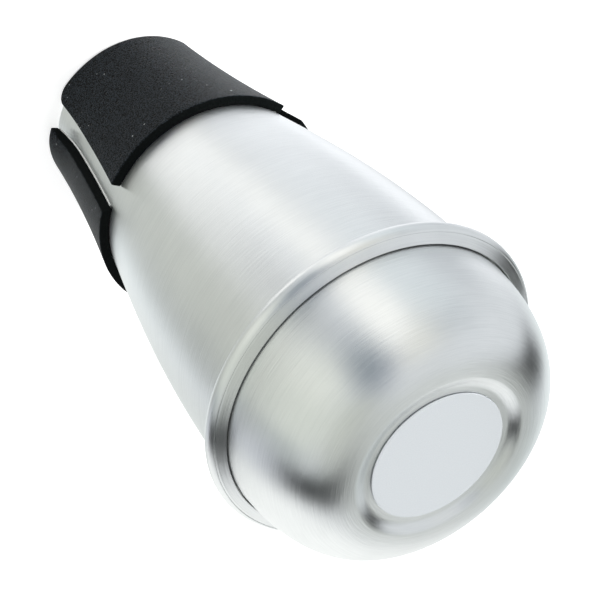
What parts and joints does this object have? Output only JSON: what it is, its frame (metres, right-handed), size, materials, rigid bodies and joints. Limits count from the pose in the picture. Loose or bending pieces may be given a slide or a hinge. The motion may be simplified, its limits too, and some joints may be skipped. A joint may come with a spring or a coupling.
{
  "type": "practice mute",
  "caption": "Closed spun aluminium mute for a small brass instrument: tapered neck with foam pads, bead ring and domed end cap with a bare round badge.",
  "frame": {"origin": "centre of the neck's mouth, on the surface that the mute stands on", "axes": "+Z along the mute's axis from the mouth to the domed end; -Y through the front foam pad, within two degrees of its middle"},
  "size_m": [0.062, 0.062, 0.112],
  "materials": {
    "spun_aluminium": "satin, spun, with fine lines round the axis",
    "badge_silver": "smooth pale silver, unprinted",
    "black_foam": "matt closed-cell foam with fine pinholes",
    "adhesive_film": "pale double-sided film",
    "clear_adhesive": "cured clear adhesive"
  },
  "bodies": {
    "root": {"body_shell": "spun_aluminium", "rim_ring": "spun_aluminium", "end_dome": "spun_aluminium", "body_bond": "clear_adhesive", "dome_bond": "clear_adhesive", "badge_adhesive": "adhesive_film", "badge_disc": "badge_silver", "pad_tape_front": "adhesive_film", "foam_pad_front": "black_foam", "pad_tape_right": "adhesive_film", "foam_pad_right": "black_foam", "pad_tape_left": "adhesive_film", "foam_pad_left": "black_foam"}
  },
  "joints": []
}
